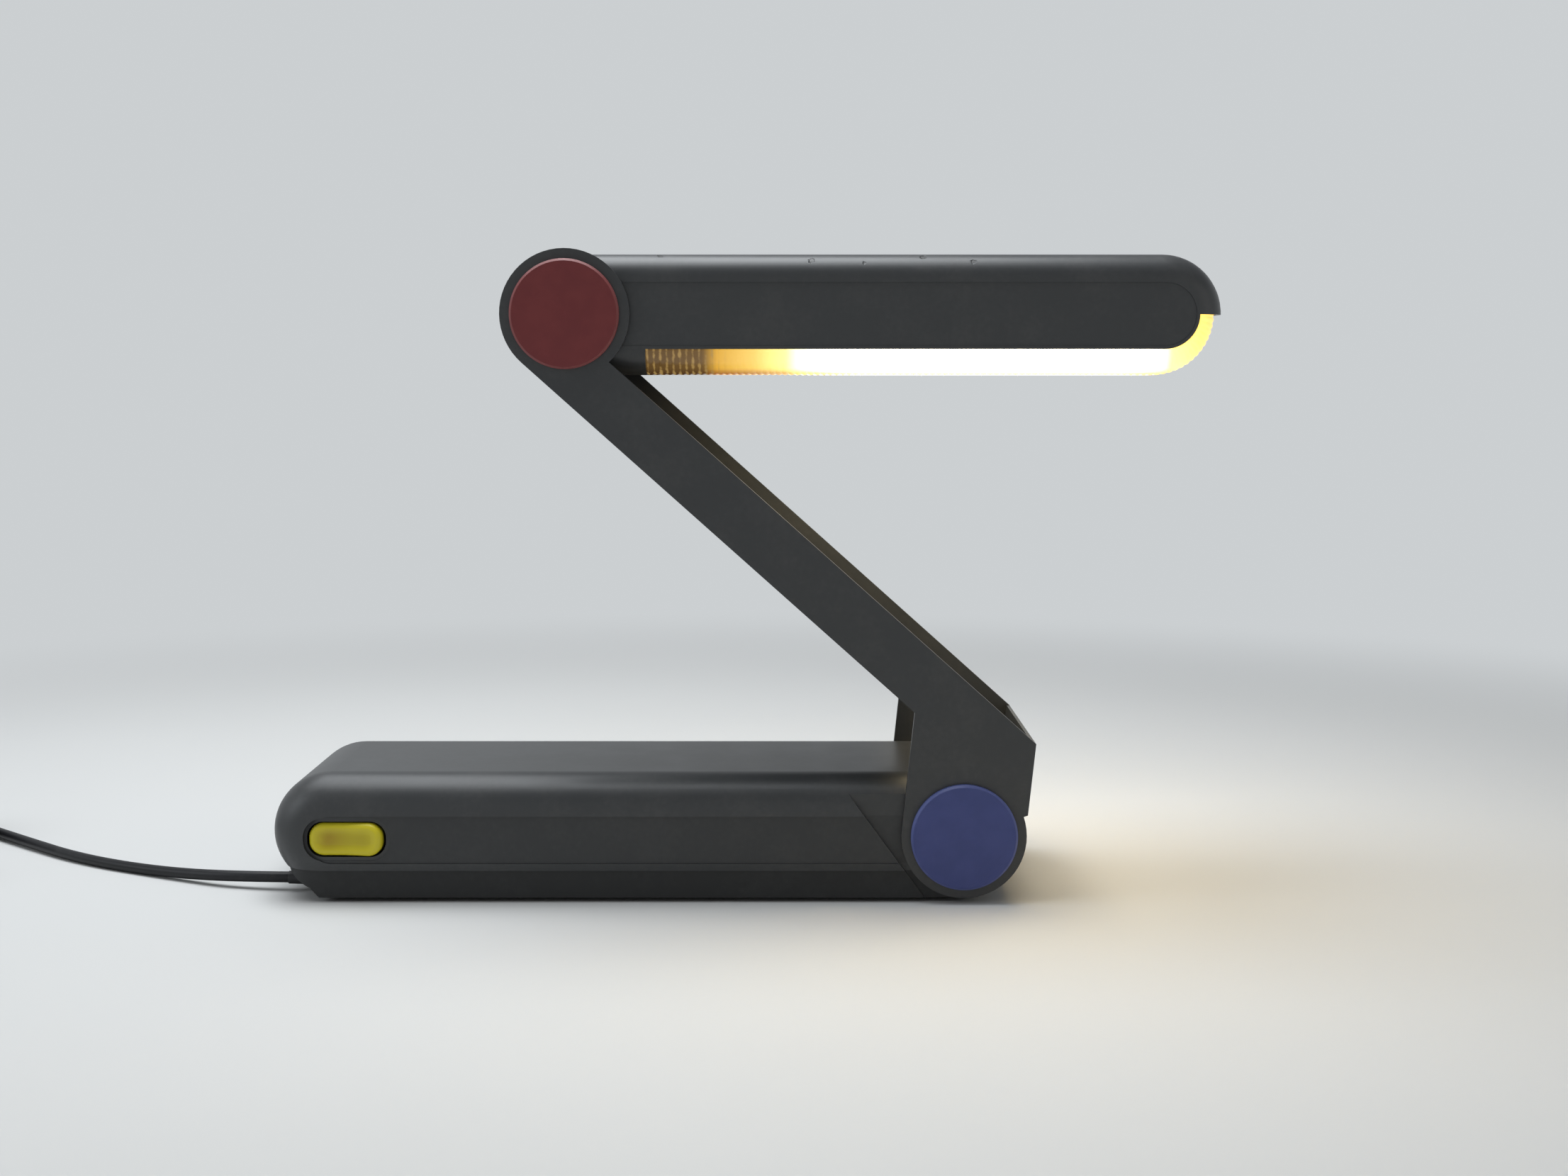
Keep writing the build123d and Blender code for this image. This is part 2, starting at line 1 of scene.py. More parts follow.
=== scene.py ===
import json
from math import pi, radians
import bmesh
import bpy
import numpy as np
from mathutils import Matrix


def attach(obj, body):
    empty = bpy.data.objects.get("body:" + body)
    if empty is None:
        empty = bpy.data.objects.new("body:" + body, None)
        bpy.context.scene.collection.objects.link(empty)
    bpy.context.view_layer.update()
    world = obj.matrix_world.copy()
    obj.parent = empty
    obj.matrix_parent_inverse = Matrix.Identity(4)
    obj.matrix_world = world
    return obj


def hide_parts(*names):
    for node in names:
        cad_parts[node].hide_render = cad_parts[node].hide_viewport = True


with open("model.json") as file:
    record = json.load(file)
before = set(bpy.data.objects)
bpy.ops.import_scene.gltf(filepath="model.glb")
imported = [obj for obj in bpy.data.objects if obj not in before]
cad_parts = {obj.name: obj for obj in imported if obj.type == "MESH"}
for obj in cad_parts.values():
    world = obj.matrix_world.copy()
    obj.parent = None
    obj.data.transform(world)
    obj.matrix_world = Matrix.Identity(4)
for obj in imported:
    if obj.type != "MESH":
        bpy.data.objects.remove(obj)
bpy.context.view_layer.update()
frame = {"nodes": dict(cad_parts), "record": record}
nodes = frame["nodes"]
mm = 0.001
print("frame loaded:", len(nodes), "CAD nodes")

# camera, where the photograph was taken from
photoCamera = dict(place=(0.01904, -0.910, 0.2315), pitchDown=6.085, lens=45.57, sensor=36.0, near=0.01)
cameraData = bpy.data.cameras.new("photoCamera")
cameraData.sensor_fit = "HORIZONTAL"
cameraData.sensor_width = photoCamera["sensor"]
cameraData.lens = photoCamera["lens"]
cameraData.clip_start = photoCamera["near"]
camera = bpy.data.objects.new("photoCamera", cameraData)
camera.location = photoCamera["place"]
camera.rotation_euler = (radians(90 - photoCamera["pitchDown"]), 0, 0)
bpy.context.scene.collection.objects.link(camera)
bpy.context.scene.camera = camera

# places that several pieces share
lowerAxis = np.array((98.325, 0.0, 30.0)) * mm
upperAxis = np.array((-75.025, 0.0, 258.096)) * mm
leftMm = -182.975              # centre of the base's round left end
leftEnd = leftMm * mm
rockerPivot = np.array((leftMm + 9.2, -47.6, 28.6))
upright = np.array((0, 0, 1))


# a shader socket that takes part in sums: an expression on it adds its Math nodes
class Sock:
    def __init__(self, tree, end=None):
        self.tree, self.end = tree, end

    def make(self, kind, settings=None, values=None, out=0):
        node = self.tree.nodes.new(kind)
        for key, value in (settings or {}).items():
            if key == "stops":
                ramp = node.color_ramp.elements
                while len(ramp) < len(value):
                    ramp.new(0.5)
                for stop, (at, colour) in zip(ramp, value):
                    stop.position, stop.color = at, colour
            else:
                setattr(node, key, value)
        for key, value in (values or {}).items():
            if isinstance(value, Sock):
                self.tree.links.new(value.end, node.inputs[key])
            else:
                node.inputs[key].default_value = value
        return Sock(self.tree, node.outputs[out])

    def maths(self, operation, first, second):
        return self.make("ShaderNodeMath", {"operation": operation}, {0: first, 1: second})

    def __add__(self, other):
        return self.maths("ADD", self, other)

    __radd__ = __add__

    def __sub__(self, other):
        return self.maths("SUBTRACT", self, other)

    def __rsub__(self, other):
        return self.maths("SUBTRACT", other, self)

    def __mul__(self, other):
        return self.maths("MULTIPLY", self, other)

    __rmul__ = __mul__


def newFinish(name, constants):
    # a material with one Principled shader, the values that are the same all over it, and its Object coordinates
    material = bpy.data.materials.new(name)
    material.use_nodes = True
    tree = material.node_tree
    shader = tree.nodes["Principled BSDF"]
    for key, value in constants.items():
        shader.inputs[key].default_value = value
    start = Sock(tree)
    return material, start, shader, start.make("ShaderNodeTexCoord", out="Object")


def feed(start, shader, values):
    for key, value in values.items():
        start.tree.links.new(value.end, shader.inputs[key])


def noise(start, where, size, detail=3.0):
    return start.make("ShaderNodeTexNoise", None,
                      {"Vector": where, "Scale": 1 / size, "Detail": detail, "Roughness": 0.55})


def ramp(start, value, low, high):
    # 0 below low, 1 above high, smooth between
    return start.make("ShaderNodeMapRange", {"interpolation_type": "SMOOTHSTEP"},
                      {"Value": value, "From Min": low, "From Max": high})


def between(pair, share):
    low, high = pair
    return low + (high - low) * share


def mixColour(start, mask, under, over, blend="MIX"):
    return start.make("ShaderNodeMix", {"data_type": "RGBA", "blend_type": blend},
                      {0: mask, 6: under, 7: over}, out=2)


def rgb(r, g, b):
    return (r, g, b, 1.0)


def axisValue(start, where, axis):
    return start.make("ShaderNodeSeparateXYZ", None, {0: where}, out=axis)


def absolute(start, value):
    return start.make("ShaderNodeMath", {"operation": "ABSOLUTE"}, {0: value})


def vectorMath(start, operation, *inputs, out=0):
    return start.make("ShaderNodeVectorMath", {"operation": operation}, dict(enumerate(inputs)), out)


def bumpOf(start, height, strength, depth, **under):
    return start.make("ShaderNodeBump", None, {"Strength": strength, "Distance": depth, "Height": height, **under})


def grainBump(start, where, look):
    # a fine even grain
    return bumpOf(start, noise(start, where, look["grain"], 2.0), look["bump"], look["depth"])


# moulded plastics: a fine eroded grain, faint mottling and handling patches
mouldings = {
    "anthracite": dict(colour=rgb(0.042, 0.044, 0.046), worn=rgb(0.055, 0.056, 0.057),
                       grain=0.7 * mm, depth=0.012 * mm, rough=(0.34, 0.46)),
    # tray: near black, darker than the shell; the darkness is partly the bottom moulding's own and partly painted
    # shade for the shadow along the foot of the base
    "tray": dict(colour=rgb(0.012, 0.0125, 0.013), worn=rgb(0.020, 0.0205, 0.021),
                 grain=0.7 * mm, depth=0.04 * mm, rough=(0.5, 0.62)),
    "lamp_white": dict(colour=rgb(0.74, 0.72, 0.66), worn=rgb(0.62, 0.57, 0.46),
                       grain=0.8 * mm, depth=0.02 * mm, rough=(0.45, 0.6)),
    "cord_fitting": dict(colour=rgb(0.018, 0.018, 0.020), worn=rgb(0.034, 0.034, 0.034),
                         grain=0.5 * mm, depth=0.03 * mm, rough=(0.42, 0.58)),
    "foot_rubber": dict(colour=rgb(0.016, 0.016, 0.016), worn=rgb(0.05, 0.048, 0.045),
                        grain=0.4 * mm, depth=0.06 * mm, rough=(0.7, 0.88)),
    "friction_fibre": dict(colour=rgb(0.11, 0.065, 0.036), worn=rgb(0.20, 0.13, 0.075),
                           grain=0.5 * mm, depth=0.05 * mm, rough=(0.6, 0.8)),
}
mouldWear = dict(ior=1.46, bump=0.55, patch=26 * mm, patchShare=0.65, fleck=2.6 * mm, fleckShare=0.35,
                 worn=(0.42, 0.72))

# the head's shell is the same moulding with a few nicks along its upper front edge: x, y and size of each in mm
headNicks = dict(colour=rgb(0.010, 0.010, 0.010), roughEdge=1.6 * mm, shake=2.6 * mm, solid=0.6, gone=1.2,
                 bump=0.8, depth=0.4 * mm, edgeY=-38.0, edgeZ=upperAxis[2] / mm + 14.0, edgeRadius=12.0,
                 places=((-34.5, -42.5, 1.7), (31.0, -46.0, 1.6), (53.5, -47.0, 1.1), (79.0, -43.5, 1.8),
                         (100.5, -46.5, 1.4)))

# the base's shell is the same moulding, with a slightly duller panel along each side, darkened by painted shade
basePanelShade = dict(colour=rgb(0.033, 0.0345, 0.036), worn=rgb(0.043, 0.044, 0.045), duller=0.06,
                 fromX=leftEnd + 2.6 * mm, toX=lowerAxis[0], midZ=28.3 * mm, radius=(10.5 * mm, 10.7 * mm))


def nickMask(start, where, nicks):
    # each nick is a small ragged spot: the distance to its centre on the rounded edge, shaken by noise
    ragged = noise(start, where, nicks["roughEdge"], 2.0) * nicks["shake"]
    spots = []
    for x, y, reach in nicks["places"]:
        z = nicks["edgeZ"] + np.sqrt(nicks["edgeRadius"] ** 2 - (y - nicks["edgeY"]) ** 2)
        away = vectorMath(start, "DISTANCE", where, (x * mm, y * mm, z * mm), out="Value")
        spots.append(1 - ramp(start, away + ragged, (reach + nicks["solid"]) * mm, (reach + nicks["gone"]) * mm))
    return sum(spots)


def panelMask(start, where, panel):
    # the panel is a slot seen from the side: all points within its radius of a level line
    x = axisValue(start, where, "X")
    offX = x - start.make("ShaderNodeClamp", None, {"Value": x, "Min": panel["fromX"], "Max": panel["toX"]})
    offZ = axisValue(start, where, "Z") - panel["midZ"]
    away = start.make("ShaderNodeMath", {"operation": "SQRT"}, {0: offX * offX + offZ * offZ})
    return 1 - ramp(start, away, *panel["radius"])


def mouldedPlastic(name, look, nicks=None, panel=None):
    material, start, shader, where = newFinish(name, {"IOR": mouldWear["ior"]})
    patch = noise(start, where, mouldWear["patch"], 4.0)
    fleck = noise(start, where, mouldWear["fleck"])
    worn = ramp(start, patch * mouldWear["patchShare"] + fleck * mouldWear["fleckShare"], *mouldWear["worn"])
    tone = mixColour(start, worn, look["colour"], look["worn"])
    rough = between(look["rough"], patch)
    bump = bumpOf(start, noise(start, where, look["grain"], 2.0), mouldWear["bump"], look["depth"])
    if panel:
        # painted shade: the panel's tone is darker than the shell's; its extra roughness is real
        inside = panelMask(start, where, panel)
        tone = mixColour(start, inside, tone, mixColour(start, worn, panel["colour"], panel["worn"]))
        rough = rough + panel["duller"] * inside
    if nicks:
        nick = nickMask(start, where, nicks)
        tone = mixColour(start, nick, tone, nicks["colour"])
        bump = bumpOf(start, 1 - nick, nicks["bump"], nicks["depth"], Normal=bump)
    feed(start, shader, {"Base Color": tone, "Roughness": rough, "Normal": bump})
    return material


finishes = {slot: mouldedPlastic(slot, look) for slot, look in mouldings.items()}
finishes["head"] = mouldedPlastic("anthraciteHead", mouldings["anthracite"], nicks=headNicks)
finishes["base"] = mouldedPlastic("anthraciteBase", mouldings["anthracite"], panel=basePanelShade)

# hinge caps: satin plastic, with a painted highlight making the chamfered rim paler, broken up by noise
caps = {
    "red_cap": dict(colour=rgb(0.160, 0.021, 0.023), mottle=rgb(0.182, 0.027, 0.028),
                    rim=rgb(0.25, 0.065, 0.065), centre=upperAxis),
    "blue_cap": dict(colour=rgb(0.043, 0.060, 0.215), mottle=rgb(0.052, 0.070, 0.240),
                     rim=rgb(0.10, 0.125, 0.32), centre=lowerAxis),
}
capWear = dict(ior=1.46, patch=11 * mm, mottled=(0.35, 0.7), grain=0.5 * mm, depth=0.03 * mm, bump=0.5,
               rough=(0.40, 0.54), rimReach=(22.3 * mm, 22.9 * mm), rimPatch=3 * mm, rimGlint=(0.45, 0.95))


def capPlastic(name, look, wear):
    # the rim is told by the distance from the hinge axis
    material, start, shader, where = newFinish(name, {"IOR": wear["ior"]})
    offset = vectorMath(start, "SUBTRACT", where, tuple(look["centre"]))
    flat = vectorMath(start, "MULTIPLY", offset, (1, 0, 1))
    reach = vectorMath(start, "LENGTH", flat, out="Value")
    patch = noise(start, where, wear["patch"], 4.0)
    # painted highlight: the rim is paler by a share that noise varies
    rimGlintShare = between(wear["rimGlint"], noise(start, where, wear["rimPatch"], 2.0))
    rim = ramp(start, reach, *wear["rimReach"]) * rimGlintShare
    tone = mixColour(start, ramp(start, patch, *wear["mottled"]), look["colour"], look["mottle"])
    feed(start, shader, {"Base Color": mixColour(start, rim, tone, look["rim"]),
                         "Roughness": between(wear["rough"], patch), "Normal": grainBump(start, where, wear)})
    return material


for slot, look in caps.items():
    finishes[slot] = capPlastic(slot, look, capWear)

# rocker: yellow, its rounded rim bright as a painted highlight, the face inside it darker and its pressed half
# browner as painted shade
rockerLook = dict(rim=rgb(0.70, 0.60, 0.020), face=rgb(0.52, 0.42, 0.010), pressed=rgb(0.40, 0.25, 0.006),
                  innerX=(7.0 * mm, 15.5 * mm), innerZ=(0.5 * mm, 6.8 * mm), pressedX=(-11 * mm, 3 * mm),
                  pressedShade=(0.6, 1.1), ior=1.47, patch=5 * mm, grain=0.7 * mm, depth=0.015 * mm, bump=0.4,
                  rough=(0.30, 0.44))


def shadedYellow(name, look):
    material, start, shader, where = newFinish(name, {"IOR": look["ior"]})
    offX = axisValue(start, where, "X") - rockerPivot[0] * mm
    offZ = axisValue(start, where, "Z") - rockerPivot[2] * mm
    insideX = 1 - ramp(start, absolute(start, offX), *look["innerX"])
    insideZ = 1 - ramp(start, absolute(start, offZ), *look["innerZ"])
    inside = insideX * insideZ
    patch = noise(start, where, look["patch"])
    left = (1 - ramp(start, offX, *look["pressedX"])) * inside
    # painted highlight on the rim; painted shade on the face inside it, and browner on the pressed half
    tone = mixColour(start, inside, look["rim"], look["face"])
    tone = mixColour(start, left * between(look["pressedShade"], patch), tone, look["pressed"])
    feed(start, shader, {"Base Color": tone, "Roughness": between(look["rough"], patch),
                         "Normal": grainBump(start, where, look)})
    return material


# switch well: black in the deep left end as painted shade, fading to the body's grey towards the right
wellLook = dict(deep=rgb(0.010, 0.010, 0.011), shallow=rgb(0.050, 0.052, 0.054), fade=(-15.5 * mm, -11.0 * mm),
                wear=(0.8, 1.1), ior=1.46, patch=5 * mm, grain=0.6 * mm, depth=0.03 * mm, bump=0.5, rough=(0.45, 0.6))


def wellPlastic(name, look):
    material, start, shader, where = newFinish(name, {"IOR": look["ior"]})
    patch = noise(start, where, look["patch"])
    # painted shade: black at the left, fading out to the right
    right = ramp(start, axisValue(start, where, "X") - rockerPivot[0] * mm, *look["fade"])
    tone = mixColour(start, right * between(look["wear"], patch), look["deep"], look["shallow"])
    feed(start, shader, {"Base Color": tone, "Roughness": between(look["rough"], patch),
                         "Normal": grainBump(start, where, look)})
    return material


finishes["well_black"] = wellPlastic("well_black", wellLook)
finishes["yellow_rocker"] = shadedYellow("yellow_rocker", rockerLook)

# metals: drawn or plated, with fine lines along one axis and duller patches
metals = {
    "steel": dict(colour=rgb(0.56, 0.56, 0.57), dull=rgb(0.40, 0.40, 0.41),
                  stretch=(1, 14, 1), line=0.35 * mm, rough=(0.24, 0.40), metallic=1.0),
    "brass_pin": dict(colour=rgb(0.72, 0.66, 0.52), dull=rgb(0.55, 0.48, 0.34),
                      stretch=(1, 1, 12), line=0.3 * mm, rough=(0.16, 0.30), metallic=1.0),
    "iron": dict(colour=rgb(0.16, 0.16, 0.165), dull=rgb(0.10, 0.085, 0.075),
                 stretch=(0.15, 9, 0.15), line=0.5 * mm, rough=(0.40, 0.6), metallic=0.8),
    "copper": dict(colour=rgb(0.62, 0.26, 0.12), dull=rgb(0.36, 0.13, 0.06),
                   stretch=(0.2, 0.2, 8), line=0.45 * mm, rough=(0.25, 0.42), metallic=1.0),
    "reflector_white": dict(colour=rgb(0.82, 0.82, 0.80), dull=rgb(0.72, 0.71, 0.68),
                            stretch=(1, 1, 1), line=2.5 * mm, rough=(0.28, 0.42), metallic=0.0),
}
metalWear = dict(patch=9 * mm, dulled=(0.4, 0.65), depth=0.03 * mm, bump=0.4)


def platedMetal(name, look, wear):
    material, start, shader, where = newFinish(name, {"Metallic": look["metallic"]})
    drawn = start.make("ShaderNodeMapping", None, {"Vector": where, "Scale": look["stretch"]})
    lines = noise(start, drawn, look["line"], 2.0)
    patch = noise(start, where, wear["patch"], 4.0)
    dulled = ramp(start, 0.5 * patch + 0.5 * lines, *wear["dulled"])
    feed(start, shader, {"Base Color": mixColour(start, dulled, look["colour"], look["dull"]),
                         "Roughness": between(look["rough"], patch),
                         "Normal": bumpOf(start, lines, wear["bump"], wear["depth"])})
    return material


for slot, look in metals.items():
    finishes[slot] = platedMetal(slot, look, metalWear)

# lit tube: white phosphor, glowing a little less at its base
tubeGlow = dict(colour=rgb(0.93, 0.92, 0.88), mottle=rgb(0.86, 0.85, 0.80), patch=6 * mm, glow=rgb(1.0, 0.88, 0.66),
                cool=rgb(0.62, 0.42, 0.2), strength=2.0, rough=0.2, warmX=(-4 * mm, 24 * mm))


def phosphorTube(name, look):
    constants = {"Emission Strength": look["strength"], "Roughness": look["rough"]}
    material, start, shader, where = newFinish(name, constants)
    along = ramp(start, axisValue(start, where, "X"), *look["warmX"])
    patch = noise(start, where, look["patch"])
    feed(start, shader, {"Base Color": mixColour(start, patch, look["colour"], look["mottle"]),
                         "Emission Color": mixColour(start, along, look["cool"], look["glow"])})
    return material


finishes["lamp_glass"] = phosphorTube("lamp_glass", tubeGlow)

# diffuser: brown where the lamp's base stands, then amber, white along the tube, amber again round the end;
# the stops, and the ranges named Along, are shares of its length
diffuserGlow = dict(
    strength=10.0, ior=1.49, rough=(0.14, 0.26), startX=-40.6 * mm, endX=206.0 * mm,
    body=rgb(0.10, 0.062, 0.022), pale=rgb(0.78, 0.70, 0.52), paleAlong=(0.08, 0.3),
    lowTint=rgb(0.5, 0.28, 0.04), lowZ=(232.3 * mm, 235.5 * mm), edgeY=(30.0 * mm, 37.0 * mm),
    spark=rgb(0.030, 0.019, 0.006), sparkAlong=(0.09, 0.15), sparkFrom=(0.62, 1.0), pitch=2.8 * mm, ribShare=0.24,
    patch=3.5 * mm, patchShare=1.2, dotZ=(232.6 * mm, 234.6 * mm), dotShare=0.16,
    stops=[(0.0, rgb(0.0068, 0.0034, 0.0009)), (0.10, rgb(0.010, 0.005, 0.0012)), (0.125, rgb(0.070, 0.037, 0.0022)),
           (0.19, rgb(0.088, 0.054, 0.005)), (0.245, rgb(0.125, 0.10, 0.022)), (0.30, rgb(0.45, 0.38, 0.20)),
           (0.38, rgb(1.0, 0.86, 0.58)), (0.84, rgb(1.0, 0.84, 0.52)), (0.92, rgb(0.22, 0.15, 0.028)),
           (0.97, rgb(0.125, 0.080, 0.006)), (1.0, rgb(0.088, 0.050, 0.0028))])


def ribbedGlow(name, look):
    material, start, shader, where = newFinish(name, {"Emission Strength": look["strength"], "IOR": look["ior"]})
    x, y, z = [axisValue(start, where, axis) for axis in "XYZ"]
    along = start.make("ShaderNodeMapRange", None, {"Value": x, "From Min": look["startX"], "From Max": look["endX"]})
    glow = start.make("ShaderNodeValToRGB", {"stops": look["stops"]}, {0: along})
    # the rounded lower edges are amber, where the skin is seen edge on
    low = (1 - ramp(start, z, *look["lowZ"])) * ramp(start, absolute(start, y), *look["edgeY"])
    glow = mixColour(start, low, glow, look["lowTint"], "MULTIPLY")
    # clear ribs catch the light where the lamp's base leaves the skin dark: a dot at the foot of each,
    # and broken streaks above
    wave = start.make("ShaderNodeMath", {"operation": "SINE"}, {0: (x - look["startX"]) * (2 * pi / look["pitch"])})
    patch = noise(start, where, look["patch"])
    dots = 1 - ramp(start, z, *look["dotZ"])
    streaks = wave * look["ribShare"] + patch * look["patchShare"] + dots * look["dotShare"]
    spark = ramp(start, streaks, *look["sparkFrom"]) * (1 - ramp(start, along, *look["sparkAlong"]))
    pale = ramp(start, along, *look["paleAlong"])
    feed(start, shader, {"Base Color": mixColour(start, pale, look["body"], look["pale"]),
                         "Emission Color": mixColour(start, spark, glow, look["spark"]),
                         "Roughness": between(look["rough"], patch)})
    return material


finishes["diffuser"] = ribbedGlow("diffuser", diffuserGlow)

# cord sheath: satin black with faint draw marks and dust
cordLook = dict(colour=rgb(0.008, 0.008, 0.010), dusty=rgb(0.020, 0.020, 0.021), patch=9 * mm, dust=(0.5, 0.8),
                ior=1.48, gloss=0.35, grain=0.6 * mm, depth=0.03 * mm, bump=0.4, rough=(0.34, 0.52))


def cordSheath(name, look):
    material, start, shader, where = newFinish(name, {"IOR": look["ior"], "Specular IOR Level": look["gloss"]})
    patch = noise(start, where, look["patch"], 4.0)
    dust = ramp(start, patch, *look["dust"])
    feed(start, shader, {"Base Color": mixColour(start, dust, look["colour"], look["dusty"]),
                         "Roughness": between(look["rough"], patch), "Normal": grainBump(start, where, look)})
    return material


finishes["cord_black"] = cordSheath("cord_black", cordLook)

ownFinish = {"head_shell": "head", "base_shell": "base", "base_tray": "tray"}
for row in frame["record"]["subparts"]:
    name = row["node"]
    data = nodes[name].data
    data.materials.clear()
    data.materials.append(finishes[ownFinish.get(name, row["material_slot"])])
print("finishes:", len(finishes))


def gridMesh(name, points, finish, closeU=False, closeV=False, smooth=True):
    # a surface from a grid of points: rows along u, columns along v, quads between neighbours
    countU, countV = points.shape[:2]
    u = np.arange(countU if closeU else countU - 1)
    v = np.arange(countV if closeV else countV - 1)
    uu, vv = np.meshgrid(u, v, indexing="ij")
    nextU, nextV = (uu + 1) % countU, (vv + 1) % countV
    corners = [uu * countV + vv, nextU * countV + vv, nextU * countV + nextV, uu * countV + nextV]
    mesh = bpy.data.meshes.new(name)
    mesh.from_pydata(points.reshape(-1, 3).tolist(), [], np.stack(corners, -1).reshape(-1, 4).tolist())
    mesh.update()
    if smooth:
        mesh.shade_smooth()
    mesh.materials.append(finish)
    piece = bpy.data.objects.new(name, mesh)
    bpy.context.scene.collection.objects.link(piece)
    return piece


def closeSeams(piece):
    # rows that meet on a line or a point become one, and the faces turn outwards
    work = bmesh.new()
    work.from_mesh(piece.data)
    bmesh.ops.remove_doubles(work, verts=work.verts, dist=0.001 * mm)
    bmesh.ops.recalc_face_normals(work, faces=work.faces)
    work.to_mesh(piece.data)
    work.free()


# mains cord: the route on the table, the coil's turns and the tail, all control points of one spline
cordSizes = dict(diameter=5.0, length=1.71, glandTip=22.0, glandY=-30.0, glandZ=6.0,
                 coilRadius=35.0, coilStep=6.6, coilLayer=5.6, halves=(3, 3, 3, 3), perTurn=16,
                 tailFlat=10.0, tailSlope=34.0, plugZ=8.0, order=3, alongSteps=8, roundSteps=5)
gland = (cordSizes["glandY"], cordSizes["glandZ"])
route = np.array([(-0.5, *gland), (-40, *gland), (-86, -8, 2.6), (-132, 17, 2.6),
                  (-174, 53, 3.2), (-212, 88, 3.2)])
route[:, 0] += leftMm
level = route[-1] - route[-2]
level /= np.linalg.norm(level)
across = np.array((-level[1], level[0], 0))
entry = route[-1] + level * cordSizes["diameter"]
hub = entry + across * cordSizes["coilRadius"]

# radius and rise at each half turn: layers wind in and out by turns, with one half turn to climb between them
radius, rise = [cordSizes["coilRadius"]], [0.0]
for layer, count in enumerate(cordSizes["halves"]):
    for k in range(count):
        radius.append(radius[-1] + cordSizes["coilStep"] / 2 * (1 if layer % 2 else -1))
        rise.append(layer * cordSizes["coilLayer"])
    if layer < len(cordSizes["halves"]) - 1:
        radius.append(radius[-1])
        rise.append((layer + 1) * cordSizes["coilLayer"])
halfTurns = np.arange(len(radius))
turn = np.linspace(0, halfTurns[-1], halfTurns[-1] * cordSizes["perTurn"] // 2 + 1)
turnRadius = np.interp(turn, halfTurns, radius)[:, None]
turnRise = np.interp(turn, halfTurns, rise)[:, None]
# a flat turn: the radius swings from the entry side through the heading, while it winds in or out
heading = np.sin(turn * pi)[:, None] * level - np.cos(turn * pi)[:, None] * across
turns = hub + turnRadius * heading + turnRise * upright
tailGo = level * (-1 if halfTurns[-1] % 2 else 1)
coilEnd = turns[-1] + tailGo * cordSizes["diameter"]
knee = coilEnd + tailGo * cordSizes["tailFlat"]
ankle = knee + tailGo * cordSizes["tailSlope"]
ankle[2] = cordSizes["plugZ"]
tailEnd = ankle + tailGo * cordSizes["tailFlat"]
cordPoints = np.vstack([route, turns, coilEnd, knee, ankle, tailEnd]) * mm

cordCurve = bpy.data.curves.new("mainsLead", "CURVE")
cordCurve.dimensions = "3D"
cordCurve.bevel_depth = cordSizes["diameter"] / 2 * mm
cordCurve.bevel_resolution = cordSizes["roundSteps"]
cordCurve.resolution_u = cordSizes["alongSteps"]
cordCurve.use_fill_caps = True
spline = cordCurve.splines.new("NURBS")
spline.points.add(len(cordPoints) - 1)
spline.points.foreach_set("co", np.hstack([cordPoints, np.ones((len(cordPoints), 1))]).ravel())
spline.order_u = cordSizes["order"]
spline.use_endpoint_u = True
cordCurve.materials.append(finishes["cord_black"])
mainsLead = bpy.data.objects.new("mainsLead", cordCurve)
bpy.context.scene.collection.objects.link(mainsLead)
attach(mainsLead, "base")
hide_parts("mains_cord", "cord_coil", "cord_tail")
print("cord points:", len(cordPoints))

# plug: rounded sections carried from the cord to the pins, with grip ridges
plugSizes = dict(length=38.0, halfWide=17.5, neck=6.0, halfHigh=8.0, power=4.0, ridges=5, ridgeDepth=0.5,
                 growTo=0.42, overFrom=0.93, overShare=0.5, ridgesFrom=0.45, ridgesRun=0.35, along=72, around=64)


def plugSurface(sizes):
    # section half width and height grow from the neck and round over at the pin face; each section is a superellipse
    u = np.linspace(0, 1, sizes["along"])
    x = sizes["length"] * u
    grow = np.clip(u / sizes["growTo"], 0, 1)
    grow = grow * grow * (3 - 2 * grow)
    near = np.clip((u - sizes["overFrom"]) / (1 - sizes["overFrom"]), 0, 1)
    over = np.sqrt(1 - near ** 2 * sizes["overShare"])
    wide = (sizes["neck"] + (sizes["halfWide"] - sizes["neck"]) * grow) * over
    high = (sizes["neck"] + (sizes["halfHigh"] - sizes["neck"]) * grow) * over
    grip = np.clip((u - sizes["ridgesFrom"]) / sizes["ridgesRun"], 0, 1)
    wide = wide - sizes["ridgeDepth"] * (0.5 - 0.5 * np.cos(grip * 2 * pi * sizes["ridges"]))
    a = np.linspace(0, 2 * pi, sizes["around"], endpoint=False)
    c = np.sign(np.cos(a)) * np.abs(np.cos(a)) ** (2 / sizes["power"])
    s = np.sign(np.sin(a)) * np.abs(np.sin(a)) ** (2 / sizes["power"])
    # first and last rows close on the axis
    x = np.concatenate([x[:1], x, x[-1:]])[:, None, None]
    wide = np.concatenate([[0], wide, [0]])[:, None, None] * c[:, None]
    high = np.concatenate([[0], high, [0]])[:, None, None] * s[:, None]
    side = np.array((-tailGo[1], tailGo[0], 0))
    return tailEnd + x * tailGo + wide * side + high * upright


plugBody = gridMesh("plugMoulding", plugSurface(plugSizes) * mm, finishes["cord_fitting"], closeV=True)
closeSeams(plugBody)
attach(plugBody, "base")
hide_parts("plug_body")

# tie: a flat strap round the coil's turns, with rounded corners
tieSizes = dict(width=6.0, thick=0.6, inner=23.3, outer=35.8, bottom=0.32, top=23.1, corner=3.0, perCorner=48)


